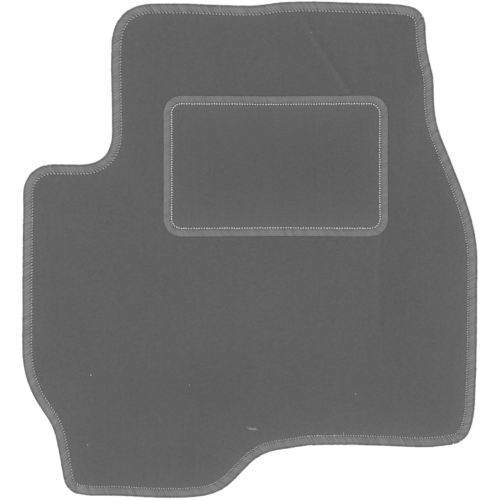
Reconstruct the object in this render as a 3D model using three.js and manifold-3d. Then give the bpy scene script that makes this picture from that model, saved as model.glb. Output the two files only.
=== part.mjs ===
// A driver's floor mat in carpet, with an overlocked edge and a sewn-on, overlocked heel pad.
// Millimetres, +Z up, +Y towards the pedals, the mat lying flat on z = 0 and centred on the origin.
// The mat is a laminate: rubber backing, carrier cloth and pile, with yarn whipped over its edge
// by a needle thread. The heel pad is a smaller laminate, lockstitched to the mat's face.

import * as THREE from 'three';
import { mergeVertices } from 'three/addons/utils/BufferGeometryUtils.js';
import Module from 'manifold-3d';

const wasm = await Module();
wasm.setup();

// ---------------------------------------------------------------- driving dimensions

const mat_width = 637;
const mat_length = 695;

// Footrest notch, at the pedal end on the left.
const notch_width = 125.5;
const notch_length = 228;
const notch_inner_radius = 42;
const notch_straight_from_shoulder = 58;
const shoulder_radius = 41;
const pedal_left_radius = 58;

// The right-hand side runs in towards the pedals, where the tunnel widens.
const tunnel_inset = 61;
const pedal_right_inset = 72;
const pedal_right_radius = 32;
const tunnel_slant_start = 158;
const tunnel_slant_end = 289;

// Step at the door end on the right, in front of the seat rail.
const seat_step_length = 74.5;
const seat_step_from_left = 334;
const seat_corner_radius = 38;

// The left-hand side turns in before the door end.
const door_corner_inset = 61.5;
const door_corner_radius = 26;
const door_turn_length = 181;

// Layers of the mat, from the floor up.
const backing_thickness = 2.0;
const carrier_thickness = 0.5;
const pile_height = 4.0;
const sewn_pile_height = 2.1;

// Overlocked edge of the mat.
const yarn_thickness = 1.2;
const edge_band_width = 11.8;
const needle_thread_width = 1.3;
const needle_thread_height = 1.6;

// Heel pad.
const pad_left_margin = 71.5;
const pad_right_margin = 63.5;
const pad_pedal_margin = 131;
const pad_length = 198;
const pad_corner_radius = 25;
const pad_waist = 1.0;
const pad_waist_radius = 2500;
const pad_carrier_thickness = 0.5;
const pad_pile_height = 3.0;
const pad_sewn_pile_height = 1.2;
const pad_yarn_thickness = 1.0;
const pad_band_width = 9.2;
const pad_needle_thread_width = 0.8;
const pad_needle_thread_height = 1.1;

// Lockstitch seam that holds the pad on the mat.
const seam_thread_width = 1.2;
const seam_thread_height = 1.5;
const bobbin_thread_width = 1.0;
const bobbin_thread_height = 0.8;
const bobbin_recess = 0.2;

// Chamfer on top of every sewn thread, as a share of its smaller side.
const thread_chamfer_share = 0.3;

// Clearances: yarn to the layers it wraps, thread to what lies beside it, pad to its pressed bed.
const wrap_gap = 0.3;
const thread_gap = 0.15;
const bed_gap = 0.4;

// How far the pile's cut face leans back from its foot.
const pile_lean = 1.0;

// Largest turn between two points of an arc.
const arc_step = THREE.MathUtils.degToRad(7.5);

// ---------------------------------------------------------------- levels and insets

const carrier_z = backing_thickness;
const pile_z = carrier_z + carrier_thickness;
const sewn_pile_z = pile_z + sewn_pile_height;
const mat_face_z = pile_z + pile_height;
const edge_top_z = sewn_pile_z + yarn_thickness;
const edge_meeting_z = edge_top_z / 2;

const core_inset = yarn_thickness + wrap_gap;
const needle_inset = edge_band_width + thread_gap;
const field_inset = needle_inset + needle_thread_width + thread_gap;

const pad_bed_z = mat_face_z - pad_yarn_thickness;
const pad_pile_z = mat_face_z + pad_carrier_thickness;
const pad_sewn_pile_z = pad_pile_z + pad_sewn_pile_height;
const pad_face_z = pad_pile_z + pad_pile_height;
const pad_edge_top_z = pad_sewn_pile_z + pad_yarn_thickness;
const pad_meeting_z = (pad_bed_z + pad_edge_top_z) / 2;

const pad_core_inset = pad_yarn_thickness + wrap_gap;
const pad_needle_inset = pad_band_width + thread_gap;
const seam_inset = pad_needle_inset + pad_needle_thread_width + thread_gap;
const seam_centre_inset = seam_inset + seam_thread_width / 2;
const pad_field_inset = seam_inset + seam_thread_width + thread_gap;

// ---------------------------------------------------------------- outlines

const left = -mat_width / 2;
const right = mat_width / 2;
const pedal_end = mat_length / 2;
const door_end = -mat_length / 2;
const notch_side = left + notch_width;
const shoulder_y = pedal_end - notch_length;

const corner = (x, y, radius) => ({ point: new THREE.Vector2(x, y), radius });

// The two directions that meet at a corner, and the turn from one to the other.
function cornerTurn(corners, i) {
  const count = corners.length;
  const { point } = corners[i];
  const before = point.clone().sub(corners[(i + count - 1) % count].point);
  const after = corners[(i + 1) % count].point.clone().sub(point);
  return { before, after, turn: Math.atan2(before.cross(after), before.dot(after)) };
}

// Limits each corner's radius to what its two sides have room for.
function fitRadii(corners) {
  const count = corners.length;
  const turns = corners.map((_, i) => cornerTurn(corners, i));
  const reach = corners.map(({ radius }, i) => radius * Math.tan(Math.abs(turns[i].turn) / 2));
  return corners.map(({ point, radius }, i) => {
    const room_before = turns[i].before.length() / (reach[i] + reach[(i + count - 1) % count]);
    const room_after = turns[i].after.length() / (reach[i] + reach[(i + 1) % count]);
    return { point, radius: radius * Math.min(1, room_before, room_after) };
  });
}

// Corners of the mat, anticlockwise from the pedal end's left corner.
const mat_corners = fitRadii([
  corner(notch_side, pedal_end - 2, pedal_left_radius),
  corner(notch_side - 1.5, pedal_end - 80, 400),
  corner(notch_side, shoulder_y + notch_straight_from_shoulder, 400),
  corner(notch_side, shoulder_y, notch_inner_radius),
  corner(left + 1, shoulder_y, shoulder_radius),
  corner(left, door_end + door_turn_length, 144),
  corner(left + 17.5, door_end + 138.5, 110),
  corner(left + 44.5, door_end + 99.5, 84),
  corner(left + door_corner_inset, door_end + 9, door_corner_radius),
  corner(left + 92, door_end + 3.5, 60),
  corner(left + 140, door_end + 2, 300),
  corner(left + 225, door_end, 300),
  corner(left + 276.5, door_end + 6.5, 75),
  corner(left + seat_step_from_left, door_end + seat_step_length - 11, 70),
  corner(left + 400, door_end + seat_step_length, 150),
  corner(right - 60, door_end + seat_step_length - 3, 120),
  corner(right - 15, door_end + seat_step_length + 5, seat_corner_radius),
  corner(right - 4.5, door_end + seat_step_length + 42.5, 90),
  corner(right - 0.5, door_end + 200, 600),
  corner(right, pedal_end - 340, 170),
  corner(right - 12, pedal_end - tunnel_slant_end, 300),
  corner(right - tunnel_inset, pedal_end - tunnel_slant_start, 170),
  corner(right - tunnel_inset - 0.5, pedal_end - 105, 80),
  corner(right - pedal_right_inset, pedal_end - 66, 150),
  corner(right - pedal_right_inset - 2, pedal_end - 9, pedal_right_radius),
  corner(right - 118, pedal_end - 2.5, 160),
  corner(left + 366, pedal_end, 260),
  corner(left + 319, pedal_end - 5.5, 250),
]);

const pad_left = notch_side + pad_left_margin;
const pad_right = right - tunnel_inset - pad_right_margin;
const pad_top = pedal_end - pad_pedal_margin;
const pad_bottom = pad_top - pad_length;
const pad_middle = new THREE.Vector2((pad_left + pad_right) / 2, (pad_top + pad_bottom) / 2);

// Corners of the heel pad, anticlockwise, with sides that the sewing draws in at the middle.
const pad_corners = fitRadii([
  corner(pad_left, pad_top, pad_corner_radius),
  corner(pad_left + pad_waist, pad_middle.y, pad_waist_radius),
  corner(pad_left, pad_bottom, pad_corner_radius),
  corner(pad_middle.x, pad_bottom + pad_waist, pad_waist_radius),
  corner(pad_right, pad_bottom, pad_corner_radius),
  corner(pad_right - pad_waist, pad_middle.y, pad_waist_radius),
  corner(pad_right, pad_top, pad_corner_radius),
  corner(pad_middle.x, pad_top - pad_waist, pad_waist_radius),
]);

// The rounded outline through the corners, moved in by inset all round. The same corners give the
// same number of points at every inset, so two insets can be joined point to point.
function roundedOutline(corners, inset) {
  const points = [];
  for (let i = 0; i < corners.length; i += 1) {
    const { point, radius } = corners[i];
    const { before, after, turn } = cornerTurn(corners, i);
    const inward_before = new THREE.Vector2(-before.y, before.x).normalize();
    const inward_after = new THREE.Vector2(-after.y, after.x).normalize();
    const bisector = inward_before.clone().add(inward_after);
    bisector.divideScalar(1 + inward_before.dot(inward_after));
    const side = Math.sign(turn);
    const centre = point.clone().addScaledVector(bisector, side * radius);
    const steps = Math.max(1, Math.ceil(Math.abs(turn) / arc_step));
    for (let j = 0; j <= steps; j += 1) {
      const spoke = inward_before.clone().rotateAround(new THREE.Vector2(), (turn * j) / steps);
      points.push(centre.clone().addScaledVector(spoke, inset - side * radius));
    }
  }
  return points;
}

// ---------------------------------------------------------------- solids from outlines

// Joins the outline at each [inset, z] of a section to the next one. A closed section makes a
// ring; an open one, listed from the bottom up, is closed by a flat face at each end.
function layeredGeometry(corners, section, closed) {
  const loops = section.map(([inset]) => roundedOutline(corners, inset));
  const size = loops[0].length;
  const positions = [];
  loops.forEach((loop, k) => {
    loop.forEach((p) => positions.push(p.x, p.y, section[k][1]));
  });
  const indices = [];
  const spans = closed ? section.length : section.length - 1;
  for (let k = 0; k < spans; k += 1) {
    const lower = k * size;
    const upper = ((k + 1) % section.length) * size;
    for (let i = 0; i < size; i += 1) {
      const next = (i + 1) % size;
      indices.push(lower + i, lower + next, upper + next);
      indices.push(lower + i, upper + next, upper + i);
    }
  }
  if (!closed) {
    const top = (section.length - 1) * size;
    THREE.ShapeUtils.triangulateShape(loops[0], []).forEach(([a, b, c]) => {
      indices.push(a, c, b);
    });
    THREE.ShapeUtils.triangulateShape(loops[section.length - 1], []).forEach(([a, b, c]) => {
      indices.push(top + a, top + b, top + c);
    });
  }
  const geometry = new THREE.BufferGeometry();
  geometry.setAttribute('position', new THREE.Float32BufferAttribute(positions, 3));
  geometry.setIndex(indices);
  return geometry;
}

const slab = (corners, section) => layeredGeometry(corners, section, false);
const ring = (corners, section) => layeredGeometry(corners, section, true);

// A ring of plain rectangular section.
function bandRing(corners, outer_inset, inner_inset, bottom, top) {
  return ring(corners, [
    [outer_inset, bottom],
    [outer_inset, top],
    [inner_inset, top],
    [inner_inset, bottom],
  ]);
}

// A sewn thread, flat where it is pulled down and chamfered on top.
function threadRing(corners, inset, width, bottom, height) {
  const chamfer = Math.min(width, height) * thread_chamfer_share;
  return ring(corners, [
    [inset, bottom],
    [inset, bottom + height - chamfer],
    [inset + chamfer, bottom + height],
    [inset + width - chamfer, bottom + height],
    [inset + width, bottom + height - chamfer],
    [inset + width, bottom],
  ]);
}

function solidFrom(geometry) {
  const bare = geometry.clone();
  bare.deleteAttribute('normal');
  bare.deleteAttribute('uv');
  const merged = mergeVertices(bare);
  return new wasm.Manifold(new wasm.Mesh({
    numProp: 3,
    vertProperties: new Float32Array(merged.attributes.position.array),
    triVerts: new Uint32Array(merged.index.array),
  }));
}

function cut(geometry, tool) {
  const mesh = solidFrom(geometry).subtract(solidFrom(tool)).getMesh();
  const result = new THREE.BufferGeometry();
  result.setAttribute('position', new THREE.BufferAttribute(mesh.vertProperties, 3));
  result.setIndex(new THREE.BufferAttribute(mesh.triVerts, 1));
  return result;
}

// ---------------------------------------------------------------- materials and nodes

const mat = new THREE.Group();

function addPart(name, geometry, color, roughness) {
  const material = new THREE.MeshStandardMaterial({ color, roughness, metalness: 0 });
  const mesh = new THREE.Mesh(geometry, material);
  mesh.name = name;
  mat.add(mesh);
}

const rubber_colour = 0x2b2b2b;
const carrier_colour = 0x4a4a4a;
const carpet_colour = 0x616161;
const band_colour = 0x7e7e7e;
const pad_band_colour = 0x828282;
const bead_colour = 0xa8a8a8;
const seam_colour = 0xd6d6d6;

// ---------------------------------------------------------------- mat laminate

// The backing is pressed thin round its edge, where the yarn passes under it, and the lower
// thread of the heel pad's seam bites a groove into its underside.
function gripBacking() {
  const sole = slab(mat_corners, [
    [field_inset, 0],
    [field_inset, yarn_thickness],
    [core_inset, yarn_thickness],
    [core_inset, backing_thickness],
  ]);
  const groove_half = bobbin_thread_width / 2 + wrap_gap;
  const groove = bandRing(
    pad_corners,
    seam_centre_inset - groove_half,
    seam_centre_inset + groove_half,
    -backing_thickness,
    bobbin_recess + bobbin_thread_height,
  );
  return cut(sole, groove);
}

// The pile stands up inside the edge, is held down under the yarn, and is pressed into a shallow
// bed under the heel pad's edge.
function matPile() {
  const carpet = slab(mat_corners, [
    [core_inset, pile_z],
    [core_inset, sewn_pile_z],
    [field_inset, sewn_pile_z],
    [field_inset + pile_lean, mat_face_z],
  ]);
  const bed = bandRing(
    pad_corners,
    -bed_gap,
    pad_band_width + bed_gap,
    pad_bed_z,
    mat_face_z + pile_height,
  );
  return cut(carpet, bed);
}

addPart('mat_grip_backing', gripBacking(), rubber_colour, 0.9);

addPart('mat_carrier_cloth', slab(mat_corners, [
  [core_inset, carrier_z],
  [core_inset, pile_z],
]), carrier_colour, 0.95);

addPart('mat_pile', matPile(), carpet_colour, 1.0);

// ---------------------------------------------------------------- mat edge

// Each yarn is laid flat over its own face and turns over the edge to meet the other.
addPart('mat_edge_lower_yarn', ring(mat_corners, [
  [yarn_thickness / 2, 0],
  [0, yarn_thickness / 2],
  [0, edge_meeting_z],
  [yarn_thickness, edge_meeting_z],
  [yarn_thickness, yarn_thickness],
  [edge_band_width, yarn_thickness],
  [edge_band_width, 0],
]), band_colour, 0.8);

addPart('mat_edge_upper_yarn', ring(mat_corners, [
  [0, edge_meeting_z],
  [0, edge_top_z - yarn_thickness / 2],
  [yarn_thickness / 2, edge_top_z],
  [edge_band_width, edge_top_z],
  [edge_band_width, sewn_pile_z],
  [yarn_thickness, sewn_pile_z],
  [yarn_thickness, edge_meeting_z],
]), band_colour, 0.8);

addPart('mat_edge_needle_thread', threadRing(
  mat_corners,
  needle_inset,
  needle_thread_width,
  sewn_pile_z,
  needle_thread_height,
), bead_colour, 0.6);

// ---------------------------------------------------------------- heel pad

addPart('pad_carrier_cloth', slab(pad_corners, [
  [pad_core_inset, mat_face_z],
  [pad_core_inset, pad_pile_z],
]), carrier_colour, 0.95);

addPart('pad_pile', slab(pad_corners, [
  [pad_core_inset, pad_pile_z],
  [pad_core_inset, pad_sewn_pile_z],
  [pad_field_inset, pad_sewn_pile_z],
  [pad_field_inset + pile_lean, pad_face_z],
]), carpet_colour, 1.0);

addPart('pad_edge_lower_yarn', ring(pad_corners, [
  [0, pad_bed_z],
  [0, pad_meeting_z],
  [pad_yarn_thickness, pad_meeting_z],
  [pad_yarn_thickness, mat_face_z],
  [pad_band_width, mat_face_z],
  [pad_band_width, pad_bed_z],
]), pad_band_colour, 0.8);

addPart('pad_edge_upper_yarn', ring(pad_corners, [
  [0, pad_meeting_z],
  [0, pad_edge_top_z - pad_yarn_thickness / 2],
  [pad_yarn_thickness / 2, pad_edge_top_z],
  [pad_band_width, pad_edge_top_z],
  [pad_band_width, pad_sewn_pile_z],
  [pad_yarn_thickness, pad_sewn_pile_z],
  [pad_yarn_thickness, pad_meeting_z],
]), pad_band_colour, 0.8);

addPart('pad_edge_needle_thread', threadRing(
  pad_corners,
  pad_needle_inset,
  pad_needle_thread_width,
  pad_sewn_pile_z,
  pad_needle_thread_height,
), pad_band_colour, 0.7);

// ---------------------------------------------------------------- heel pad seam

addPart('pad_seam_top_thread', threadRing(
  pad_corners,
  seam_inset,
  seam_thread_width,
  pad_sewn_pile_z,
  seam_thread_height,
), seam_colour, 0.5);

addPart('pad_seam_bobbin_thread', bandRing(
  pad_corners,
  seam_centre_inset - bobbin_thread_width / 2,
  seam_centre_inset + bobbin_thread_width / 2,
  bobbin_recess,
  bobbin_recess + bobbin_thread_height,
), seam_colour, 0.5);

export default mat;
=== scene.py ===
"""Car floor mat: overlocked carpet with a heel pad sewn on, laid flat on a pale studio floor."""

import math

import bmesh
import bpy
import numpy as np
from bpy.props import (
    FloatProperty, FloatVectorProperty, IntProperty, PointerProperty, StringProperty)
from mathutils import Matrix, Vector
from mathutils.geometry import delaunay_2d_cdt
from mathutils.kdtree import KDTree


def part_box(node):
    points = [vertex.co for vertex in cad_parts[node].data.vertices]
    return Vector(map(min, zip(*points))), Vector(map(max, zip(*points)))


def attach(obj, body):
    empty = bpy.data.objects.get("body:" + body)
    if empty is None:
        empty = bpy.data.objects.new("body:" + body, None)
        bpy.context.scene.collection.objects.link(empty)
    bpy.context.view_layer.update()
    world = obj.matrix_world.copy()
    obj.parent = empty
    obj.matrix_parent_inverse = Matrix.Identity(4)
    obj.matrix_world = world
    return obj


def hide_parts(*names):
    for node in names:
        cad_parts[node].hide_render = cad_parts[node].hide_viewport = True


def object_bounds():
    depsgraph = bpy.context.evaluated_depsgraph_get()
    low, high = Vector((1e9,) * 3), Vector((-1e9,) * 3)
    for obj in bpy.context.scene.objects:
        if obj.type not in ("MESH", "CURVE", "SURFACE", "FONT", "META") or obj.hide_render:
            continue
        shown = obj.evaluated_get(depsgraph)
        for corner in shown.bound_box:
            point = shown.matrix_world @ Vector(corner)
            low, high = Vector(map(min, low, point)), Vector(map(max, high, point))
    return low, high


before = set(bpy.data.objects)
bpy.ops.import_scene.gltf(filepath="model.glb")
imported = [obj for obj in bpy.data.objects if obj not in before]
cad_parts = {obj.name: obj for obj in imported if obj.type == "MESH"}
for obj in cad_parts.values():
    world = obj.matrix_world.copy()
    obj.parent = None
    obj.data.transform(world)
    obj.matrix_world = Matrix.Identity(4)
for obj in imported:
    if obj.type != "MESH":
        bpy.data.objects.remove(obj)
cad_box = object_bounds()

bl_info = {
    "name": "Sewn floor mat",
    "version": (1, 0, 0),
    "blender": (4, 5, 0),
    "location": "View3D > Sidebar > Floor mat",
    "description": "Builds an overlocked carpet floor mat with a heel pad",
    "category": "Add Mesh",
}

MM = 0.001
# Length of yarn that one step of its UV map covers.
YARN_STEP = 4 * MM
# A field's tufts start this share of their pitch inside the outline that holds them.
FIELD_GAP = 0.55
# Distance between the slow rises of a mat that has been rolled up.
UNDULATION_SIZE = 55 * MM
# Shapes that the stitches of one kind are picked from, and fewer where they hardly show.
SHAPES = 5
HIDDEN_SHAPES = 4


# ---------------------------------------------------------------- settings

class MatCarpetSettings(bpy.types.PropertyGroup):
    """Carpet of the mat and of its heel pad."""

    tuft_pitch: FloatProperty(
        name="Tuft pitch", description="Distance between tufts of the sheared pile",
        default=1.95 * MM, min=1.0 * MM, max=6.0 * MM, subtype="DISTANCE", unit="LENGTH")
    tuft_height: FloatProperty(
        name="Tuft height", description="How far a tuft stands above or below its neighbours",
        default=0.16 * MM, min=0.0, max=1.0 * MM, subtype="DISTANCE", unit="LENGTH")
    undulation: FloatProperty(
        name="Undulation", description="Slow rise and fall of a mat that has been rolled up",
        default=0.25 * MM, min=0.0, max=2.0 * MM, subtype="DISTANCE", unit="LENGTH")
    fold_height: FloatProperty(
        name="Fold height", description="Height of the faint ridges left by folding the mat",
        default=0.3 * MM, min=0.0, max=2.0 * MM, subtype="DISTANCE", unit="LENGTH")
    grain_height: FloatProperty(
        name="Rubber grain", description="Height of the grain on the anti-slip backing",
        default=0.12 * MM, min=0.0, max=0.5 * MM, subtype="DISTANCE", unit="LENGTH")
    pile_colour: StringProperty(
        name="Pile colour", description="Colour of the carpet pile, as sRGB hex", default="626262")
    backing_colour: StringProperty(
        name="Backing colour", description="Colour of the rubber backing, as sRGB hex",
        default="2b2b2b")
    seed: IntProperty(name="Seed", description="Seed of the tufts' unevenness", default=7)


class MatEdgeSettings(bpy.types.PropertyGroup):
    """Overlocked edge of the mat."""

    pitch: FloatProperty(
        name="Stitch pitch", description="Distance between needle stitches, at the needle line",
        default=4.06 * MM, min=2.0 * MM, max=10.0 * MM, subtype="DISTANCE", unit="LENGTH")
    feed: FloatProperty(
        name="Feed difference", description="Share by which the toe side's stitches are longer",
        default=0.15, min=0.0, max=0.5, subtype="FACTOR")
    right_feed: FloatProperty(
        name="Right side feed", description="Share by which the right side's stitches are shorter",
        default=0.17, min=0.0, max=0.5, subtype="FACTOR")
    lean: FloatProperty(
        name="Lean", description="Angle of the yarn to the edge's square",
        default=math.radians(29), min=0.0, max=math.radians(45), subtype="ANGLE", unit="ROTATION")
    strands: IntProperty(
        name="Strands", description="Strands of bulked yarn in one stitch",
        default=3, min=1, max=5)
    yarn_colour: StringProperty(
        name="Yarn colour", description="Colour of the bulked yarn, as sRGB hex", default="868686")
    thread_colour: StringProperty(
        name="Needle thread colour", description="Colour of the needle thread, as sRGB hex",
        default="b6b6b6")
    overlap_start: FloatProperty(
        name="Overlap start",
        description="Where the second lap of the seam starts, across the mat",
        default=81 * MM, subtype="DISTANCE", unit="LENGTH")
    overlap_end: FloatProperty(
        name="Overlap end", description="Where the seam's second lap ends, across the mat",
        default=131 * MM, subtype="DISTANCE", unit="LENGTH")
    seed: IntProperty(name="Seed", description="Seed of the stitches' unevenness", default=11)


class PadEdgeSettings(bpy.types.PropertyGroup):
    """Overlocked edge of the heel pad and the seam that holds it."""

    pitch: FloatProperty(
        name="Stitch pitch", description="Distance between stitches, at the needle line",
        default=3.3 * MM, min=1.5 * MM, max=8.0 * MM, subtype="DISTANCE", unit="LENGTH")
    feed: FloatProperty(
        name="Feed difference", description="Share by which the long sides' stitches are longer",
        default=0.08, min=0.0, max=0.5, subtype="FACTOR")
    lean: FloatProperty(
        name="Lean", description="Angle of the yarn to the edge's square",
        default=math.radians(24), min=0.0, max=math.radians(45), subtype="ANGLE", unit="ROTATION")
    yarn_colour: StringProperty(
        name="Yarn colour", description="Colour of the pad's overlock yarn, as sRGB hex",
        default="818181")
    seam_colour: StringProperty(
        name="Seam colour", description="Colour of the lockstitch thread, as sRGB hex",
        default="eeeeee")
    seed: IntProperty(name="Seed", description="Seed of the stitches' unevenness", default=23)


class MatStageSettings(bpy.types.PropertyGroup):
    """Floor, light and camera."""

    camera_height: FloatProperty(
        name="Camera height", description="Height of the camera above the floor",
        default=3.0, min=0.5, max=10.0, subtype="DISTANCE", unit="LENGTH")
    field_width: FloatProperty(
        name="Field width", description="Width that the camera sees at the carpet's height",
        default=0.7, min=0.1, max=4.0, subtype="DISTANCE", unit="LENGTH")
    aim: FloatVectorProperty(
        name="Aim", description="Place on the mat at the middle of the camera's view",
        default=(0.21 * MM, 0.14 * MM, 6.0 * MM), size=3, subtype="TRANSLATION", unit="LENGTH")
    dome_strength: FloatProperty(
        name="Dome strength", description="Brightness of the soft dome overhead",
        default=0.88, min=0.0, max=5.0)
    softbox_power: FloatProperty(
        name="Softbox power", description="Power of the large softbox, in watts",
        default=9.9, min=0.0, max=500.0)


# ---------------------------------------------------------------- outlines

def flat_outlines(node, height):
    """Give the closed outlines of a CAD node's flat face at a height, the longest first."""
    form = bmesh.new()
    form.from_mesh(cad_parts[node].data)
    bmesh.ops.remove_doubles(form, verts=form.verts, dist=1e-6)
    level = {face for face in form.faces if all(abs(v.co.z - height) < 1e-5 for v in face.verts)}
    rim = [edge for edge in form.edges if len(level.intersection(edge.link_faces)) == 1]
    left, loops = set(rim), []
    for edge in rim:
        if edge not in left:
            continue
        corner, loop = edge.verts[0], []
        while edge:
            left.discard(edge)
            loop.append(corner.co.xy.copy())
            corner = edge.other_vert(corner)
            edge = next((e for e in corner.link_edges if e in left), None)
        loops.append(np.array(loop))
    form.free()
    if not loops:
        raise RuntimeError(f"{node} has no flat face at {height} m")
    return sorted(loops, key=lambda loop: -np.hypot(*np.ptp(loop, axis=0)))


class EdgePath:
    """A closed outline as evenly spaced points, run anticlockwise, with its inward normals.

    pulls are places in millimetres, each with the reach and the amount of its pull outwards.
    """

    def __init__(self, outline, start, seed, waver=0.12 * MM, pulls=()):
        spacing, softness, waver_reach = 1 * MM, 3 * MM, 14 * MM
        if area_inside(outline) < 0:
            outline = outline[::-1]
        first = np.argmin(np.hypot(*(outline - start).T))
        outline = np.roll(outline, -first, axis=0)
        loop = np.vstack([outline, outline[:1]])
        along = lengths(outline)
        count = round(along[-1] / spacing)
        places = np.linspace(0, along[-1], count, endpoint=False)
        even = np.c_[np.interp(places, along, loop[:, 0]), np.interp(places, along, loop[:, 1])]
        self.points = blurred(even, softness / spacing)
        uneven = np.random.default_rng(seed).normal(size=(count, 1))
        uneven = blurred(uneven, waver_reach / spacing)
        self.measure()
        moved = -uneven / uneven.std() * waver
        for x, y, reach, out in pulls:
            away = np.hypot(*(self.points / MM - (x, y)).T)[:, None]
            moved += out * MM * np.exp(-0.5 * (away / reach) ** 2)
        self.points = self.points - self.inward * moved
        self.measure()

    def measure(self):
        """Work out the inward normals and the length."""
        ahead = np.roll(self.points, -1, axis=0) - np.roll(self.points, 1, axis=0)
        ahead /= np.linalg.norm(ahead, axis=1)[:, None]
        self.inward = np.c_[-ahead[:, 1], ahead[:, 0]]
        self.along = lengths(self.points)
        self.length = self.along[-1]

    def inset(self, distance, every=1):
        """Give the outline moved inwards, with one point in every few kept."""
        return (self.points + self.inward * distance)[::every]


def area_inside(outline):
    """Give the area inside a closed outline, below zero where it runs clockwise."""
    x, y = outline.T
    return np.sum(x * np.roll(y, -1) - y * np.roll(x, -1)) / 2


def lengths(points):
    """Give the distance run at each point of a closed outline, and at its end."""
    loop = np.vstack([points, points[:1]])
    return np.r_[0, np.cumsum(np.hypot(*np.diff(loop, axis=0).T))]


def blurred(values, reach):
    """Soften rows of numbers that run round in a ring."""
    steps = np.arange(-round(4 * reach), round(4 * reach) + 1)
    weights = np.exp(-0.5 * (steps / reach) ** 2)
    weights /= weights.sum()
    return sum(w * np.roll(values, s, axis=0) for w, s in zip(weights, steps))


def is_inside(points, outline):
    """Say which points lie inside a closed outline, by counting the crossings to their left."""
    ends = np.roll(outline, -1, axis=0)
    inside = np.zeros(len(points), dtype=bool)
    rows, which = np.unique(points[:, 1], return_inverse=True)
    order = np.argsort(which, kind="stable")
    groups = np.split(order, np.searchsorted(which[order], np.arange(1, len(rows))))
    for y, group in zip(rows, groups):
        crossed = (outline[:, 1] > y) != (ends[:, 1] > y)
        a, b = outline[crossed], ends[crossed]
        at = np.sort(a[:, 0] + (y - a[:, 1]) * (b[:, 0] - a[:, 0]) / (b[:, 1] - a[:, 1]))
        inside[group] = np.searchsorted(at, points[group, 0]) % 2 == 1
    return inside


def tuft_grid(outline, pitch, chance, hole=None):
    """Scatter points on an uneven triangular grid inside an outline, and outside a hole."""
    low, high = outline.min(axis=0), outline.max(axis=0)
    row = pitch * math.sqrt(3) / 2
    xs = np.arange(low[0], high[0], pitch)
    ys = np.arange(low[1], high[1], row)
    grid_x, grid_y = np.meshgrid(xs, ys)
    grid_x = grid_x + (np.arange(len(ys)) % 2)[:, None] * pitch / 2
    points = np.c_[grid_x.ravel(), grid_y.ravel()]
    kept = is_inside(points, outline)
    if hole is not None:
        kept &= ~is_inside(points, hole)
    points = points[kept]
    # How far a point strays from its place on the grid, as a share of the pitch.
    stray = 0.24
    return points + chance.uniform(-stray, stray, points.shape) * pitch


# ---------------------------------------------------------------- forms

class Slab:
    """Collects the points and faces of a closed layer, with a share of nap at each point."""

    def __init__(self):
        self.points, self.faces, self.nap, self.count = [], [], [], 0

    def level(self, flat, height, nap=0.0):
        """Add points at one height, or at a height each, and give their numbers."""
        heights = np.broadcast_to(height, len(flat))
        self.points.append(np.c_[flat, heights])
        self.nap.append(np.broadcast_to(nap, len(flat)))
        self.count += len(flat)
        return np.arange(self.count - len(flat), self.count)

    def join(self, first, second):
        """Join two rings of the same number of points with a band of faces."""
        quads = np.c_[first, np.roll(first, -1), np.roll(second, -1), second]
        self.faces.extend(map(tuple, quads.tolist()))

    def rings(self, edge, levels):
        """Add a ring of points along an edge for each inset in millimetres, height and nap."""
        return [self.level(edge.inset(inset * MM, 2), height, nap)
                for inset, height, nap in levels]

    def wall(self, edge, levels):
        """Add such rings, and join each to the next."""
        rings = self.rings(edge, levels)
        for first, second in zip(rings, rings[1:]):
            self.join(first, second)
        return rings

    def fill(self, rings, loose=()):
        """Fill the first ring with triangles through the other rings and the loose points."""
        numbers = np.concatenate([*rings, *loose])
        flat = np.vstack(self.points)[numbers, :2]
        edges, start = [], 0
        for ring in rings:
            place = np.arange(start, start + len(ring))
            edges.extend(map(tuple, np.c_[place, np.roll(place, -1)].tolist()))
            start += len(ring)
        made = delaunay_2d_cdt([Vector(p) for p in flat], edges, [], 1, 1e-7)
        if len(made[0]) != len(flat):
            raise RuntimeError("the field's points fell together")
        self.faces.extend(tuple(int(numbers[i]) for i in face) for face in made[2])

    def build(self, name, edge=None, folds=(), bow=0.0, brushed=(), patch=None):
        """Make the object, its faces pointing outwards, with the pile's lean and painted light and
        shade as an attribute.

        edge is the sewn edge that the pile leans away from, and patch what is sewn on it, beside
        which the pile is painted lighter against the patch's shadow. brushed are places in
        millimetres: middle, reach across and along, and lean. bow leans the pile towards both long
        sides.
        """
        mesh = bpy.data.meshes.new(name)
        points, nap = np.vstack(self.points), np.concatenate(self.nap)
        lean = np.zeros(len(points))
        if edge is not None:
            lean += edge_lean(points, edge)
        # Painted light: the pile beside the sewn-on patch is painted lighter, taking out the
        # shadow that the patch casts on it.
        if patch is not None:
            lean += 0.5 * np.exp(-distances(points, patch) / (4 * MM))
        for x, y, wide, long, amount in brushed:
            away = (points[:, :2] / MM - (x, y)) / (wide, long)
            lean += amount * np.exp(-0.5 * (away ** 2).sum(axis=1))
        half = np.ptp(points[:, 1]) / 2
        lean += bow * (np.abs(points[:, 1] - points[:, 1].min() - half) / half) ** 3
        for fold in folds:
            ridge, tilt = fold_lines(points, *fold)
            points[:, 2] += ridge * nap
            # The fold's painted light and shade go into the pile's lean.
            lean += tilt
        mesh.from_pydata(points.tolist(), [], self.faces)
        for label, values in (("nap", nap), ("lean", lean)):
            mesh.attributes.new(label, "FLOAT", "POINT").data.foreach_set(
                "value", values.astype(np.float32))
        form = bmesh.new()
        form.from_mesh(mesh)
        bmesh.ops.recalc_face_normals(form, faces=form.faces)
        form.to_mesh(mesh)
        form.free()
        mesh.shade_smooth()
        return placed(name, mesh)


def distances(points, edge):
    """Measure how far points are from an outline, seen from above."""
    outline = edge[::4]
    nearest = KDTree(len(outline))
    for number, (x, y) in enumerate(outline):
        nearest.insert((x, y, 0.0), number)
    nearest.balance()
    return np.array([nearest.find((x, y, 0.0))[2] for x, y in points[:, :2]])


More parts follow.
